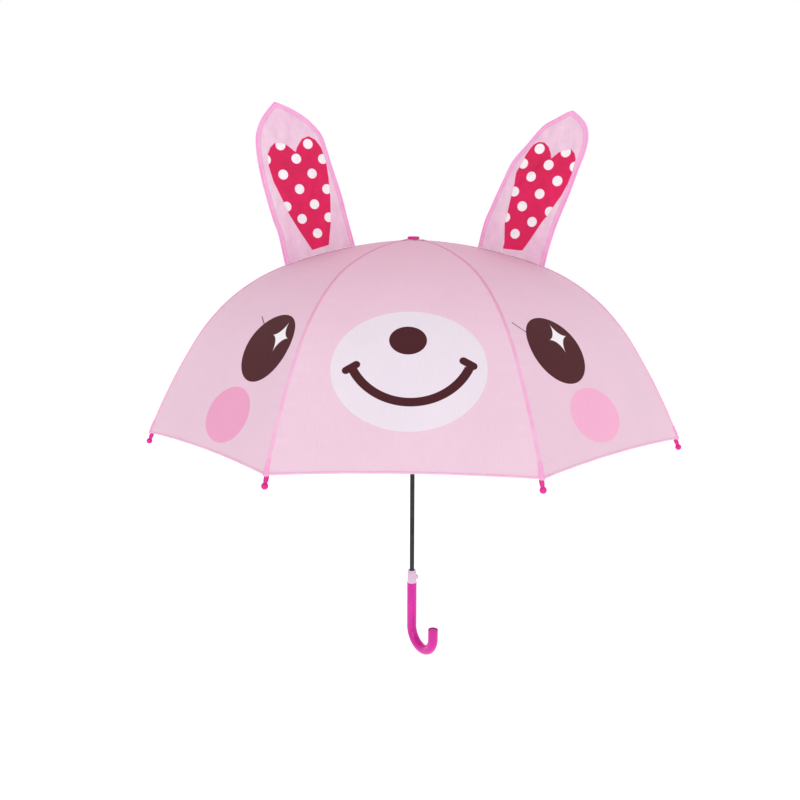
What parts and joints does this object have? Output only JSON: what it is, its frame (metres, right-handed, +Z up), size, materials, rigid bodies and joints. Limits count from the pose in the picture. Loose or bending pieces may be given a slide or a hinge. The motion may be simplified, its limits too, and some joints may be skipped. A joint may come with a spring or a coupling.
{
  "type": "umbrella",
  "caption": "Child's open umbrella with a domed fabric canopy printed with an animal face, two standing fabric ears, ball-tipped ribs, a slim shaft and a hooked handle.",
  "frame": {"origin": "middle of the straight grip, on the shaft's axis", "axes": "+Z up the shaft towards the crown, the printed face looks along -Y, +X to the right of the face"},
  "size_m": [0.6916, 0.6916, 0.7943],
  "materials": {
    "handle_plastic": "glossy, slightly translucent magenta",
    "collar_plastic": "pale translucent pink, satin",
    "shaft_steel": "dark polished steel",
    "wire_steel": "drawn wire",
    "black_plastic": "matte",
    "rosette_fabric": "woven polyester",
    "tip_plastic": "glossy magenta",
    "canopy_fabric": "printed woven polyester",
    "frame_steel": "rolled steel, dark coating",
    "rivet_steel": "satin",
    "ear_fabric": "printed woven polyester with a dotted lining patch",
    "piping_fabric": "folded binding tape"
  },
  "bodies": {
    "root": {"handle": "handle_plastic", "hook_plug": "handle_plastic", "collar": "collar_plastic", "shaft": "shaft_steel", "top_catch": "wire_steel", "notch": "black_plastic", "notch_wire": "wire_steel", "canopy_rosette": "rosette_fabric", "top_cap": "tip_plastic"},
    "button_body": {"push_button": "collar_plastic"},
    "runner_body": {"runner": "black_plastic", "runner_wire": "wire_steel"},
    "rib_body_1": {"rib_1": "frame_steel", "tip_1": "tip_plastic", "canopy_1": "canopy_fabric"},
    "stretcher_body_1": {"stretcher_1": "frame_steel", "rivet_1": "rivet_steel"},
    "rib_body_2": {"rib_2": "frame_steel", "tip_2": "tip_plastic", "canopy_2": "canopy_fabric", "ear_right": "ear_fabric", "ear_right_piping": "piping_fabric"},
    "stretcher_body_2": {"stretcher_2": "frame_steel", "rivet_2": "rivet_steel"},
    "rib_body_3": {"rib_3": "frame_steel", "tip_3": "tip_plastic", "canopy_3": "canopy_fabric"},
    "stretcher_body_3": {"stretcher_3": "frame_steel", "rivet_3": "rivet_steel"},
    "rib_body_4": {"rib_4": "frame_steel", "tip_4": "tip_plastic", "canopy_4": "canopy_fabric", "tie_strap": "canopy_fabric", "tie_snap": "tip_plastic"},
    "stretcher_body_4": {"stretcher_4": "frame_steel", "rivet_4": "rivet_steel"},
    "rib_body_5": {"rib_5": "frame_steel", "tip_5": "tip_plastic", "canopy_5": "canopy_fabric"},
    "stretcher_body_5": {"stretcher_5": "frame_steel", "rivet_5": "rivet_steel"},
    "rib_body_6": {"rib_6": "frame_steel", "tip_6": "tip_plastic", "canopy_6": "canopy_fabric"},
    "stretcher_body_6": {"stretcher_6": "frame_steel", "rivet_6": "rivet_steel"},
    "rib_body_7": {"rib_7": "frame_steel", "tip_7": "tip_plastic", "canopy_7": "canopy_fabric", "ear_left": "ear_fabric", "ear_left_piping": "piping_fabric"},
    "stretcher_body_7": {"stretcher_7": "frame_steel", "rivet_7": "rivet_steel"},
    "rib_body_8": {"rib_8": "frame_steel", "tip_8": "tip_plastic", "canopy_8": "canopy_fabric"},
    "stretcher_body_8": {"stretcher_8": "frame_steel", "rivet_8": "rivet_steel"}
  },
  "joints": [
    {"name": "runner_slide", "type": "slide", "parent": "root", "child": "runner_body", "axis": [0, 0, -1], "range_m": [0, 0.30737], "deforming": ["top_catch"]},
    {"name": "button_press", "type": "slide", "parent": "root", "child": "button_body", "axis": [-1, 0, 0], "range_m": [0, 0.002], "stiffness_N_per_m": 400},
    {"name": "rib_fold_1", "type": "hinge", "parent": "root", "child": "rib_body_1", "pos_m": [0.00459, -0.01109, 0.5484], "axis": [0.9239, 0.3827, 0], "range_deg": [0, 53], "deforming": ["canopy_1"]},
    {"name": "stretcher_fold_1", "type": "hinge", "parent": "rib_body_1", "child": "stretcher_body_1", "pos_m": [0.09062, -0.21878, 0.48347], "axis": [-0.9239, -0.3827, 0], "range_deg": [0, 106]},
    {"name": "rib_fold_2", "type": "hinge", "parent": "root", "child": "rib_body_2", "pos_m": [0.01109, -0.00459, 0.5484], "axis": [0.3827, 0.9239, 0], "range_deg": [0, 53], "deforming": ["canopy_2"]},
    {"name": "stretcher_fold_2", "type": "hinge", "parent": "rib_body_2", "child": "stretcher_body_2", "pos_m": [0.21878, -0.09062, 0.48347], "axis": [-0.3827, -0.9239, 0], "range_deg": [0, 106]},
    {"name": "rib_fold_3", "type": "hinge", "parent": "root", "child": "rib_body_3", "pos_m": [0.01109, 0.00459, 0.5484], "axis": [-0.3827, 0.9239, 0], "range_deg": [0, 53], "deforming": ["canopy_3"]},
    {"name": "stretcher_fold_3", "type": "hinge", "parent": "rib_body_3", "child": "stretcher_body_3", "pos_m": [0.21878, 0.09062, 0.48347], "axis": [0.3827, -0.9239, 0], "range_deg": [0, 106]},
    {"name": "rib_fold_4", "type": "hinge", "parent": "root", "child": "rib_body_4", "pos_m": [0.00459, 0.01109, 0.5484], "axis": [-0.9239, 0.3827, 0], "range_deg": [0, 53], "deforming": ["canopy_4", "tie_strap", "tie_snap"]},
    {"name": "stretcher_fold_4", "type": "hinge", "parent": "rib_body_4", "child": "stretcher_body_4", "pos_m": [0.09062, 0.21878, 0.48347], "axis": [0.9239, -0.3827, 0], "range_deg": [0, 106]},
    {"name": "rib_fold_5", "type": "hinge", "parent": "root", "child": "rib_body_5", "pos_m": [-0.00459, 0.01109, 0.5484], "axis": [-0.9239, -0.3827, 0], "range_deg": [0, 53], "deforming": ["canopy_5"]},
    {"name": "stretcher_fold_5", "type": "hinge", "parent": "rib_body_5", "child": "stretcher_body_5", "pos_m": [-0.09062, 0.21878, 0.48347], "axis": [0.9239, 0.3827, 0], "range_deg": [0, 106]},
    {"name": "rib_fold_6", "type": "hinge", "parent": "root", "child": "rib_body_6", "pos_m": [-0.01109, 0.00459, 0.5484], "axis": [-0.3827, -0.9239, 0], "range_deg": [0, 53], "deforming": ["canopy_6"]},
    {"name": "stretcher_fold_6", "type": "hinge", "parent": "rib_body_6", "child": "stretcher_body_6", "pos_m": [-0.21878, 0.09062, 0.48347], "axis": [0.3827, 0.9239, 0], "range_deg": [0, 106]},
    {"name": "rib_fold_7", "type": "hinge", "parent": "root", "child": "rib_body_7", "pos_m": [-0.01109, -0.00459, 0.5484], "axis": [0.3827, -0.9239, 0], "range_deg": [0, 53], "deforming": ["canopy_7"]},
    {"name": "stretcher_fold_7", "type": "hinge", "parent": "rib_body_7", "child": "stretcher_body_7", "pos_m": [-0.21878, -0.09062, 0.48347], "axis": [-0.3827, 0.9239, 0], "range_deg": [0, 106]},
    {"name": "rib_fold_8", "type": "hinge", "parent": "root", "child": "rib_body_8", "pos_m": [-0.00459, -0.01109, 0.5484], "axis": [0.9239, -0.3827, 0], "range_deg": [0, 53], "deforming": ["canopy_8"]},
    {"name": "stretcher_fold_8", "type": "hinge", "parent": "rib_body_8", "child": "stretcher_body_8", "pos_m": [-0.09062, -0.21878, 0.48347], "axis": [-0.9239, 0.3827, 0], "range_deg": [0, 106]}
  ],
  "couplings": [
    {"joint": "rib_fold_1", "follows": "runner_slide", "rad_per_m": 3.0095},
    {"joint": "stretcher_fold_1", "follows": "runner_slide", "rad_per_m": 6.019},
    {"joint": "rib_fold_2", "follows": "runner_slide", "rad_per_m": 3.0095},
    {"joint": "stretcher_fold_2", "follows": "runner_slide", "rad_per_m": 6.019},
    {"joint": "rib_fold_3", "follows": "runner_slide", "rad_per_m": 3.0095},
    {"joint": "stretcher_fold_3", "follows": "runner_slide", "rad_per_m": 6.019},
    {"joint": "rib_fold_4", "follows": "runner_slide", "rad_per_m": 3.0095},
    {"joint": "stretcher_fold_4", "follows": "runner_slide", "rad_per_m": 6.019},
    {"joint": "rib_fold_5", "follows": "runner_slide", "rad_per_m": 3.0095},
    {"joint": "stretcher_fold_5", "follows": "runner_slide", "rad_per_m": 6.019},
    {"joint": "rib_fold_6", "follows": "runner_slide", "rad_per_m": 3.0095},
    {"joint": "stretcher_fold_6", "follows": "runner_slide", "rad_per_m": 6.019},
    {"joint": "rib_fold_7", "follows": "runner_slide", "rad_per_m": 3.0095},
    {"joint": "stretcher_fold_7", "follows": "runner_slide", "rad_per_m": 6.019},
    {"joint": "rib_fold_8", "follows": "runner_slide", "rad_per_m": 3.0095},
    {"joint": "stretcher_fold_8", "follows": "runner_slide", "rad_per_m": 6.019}
  ]
}
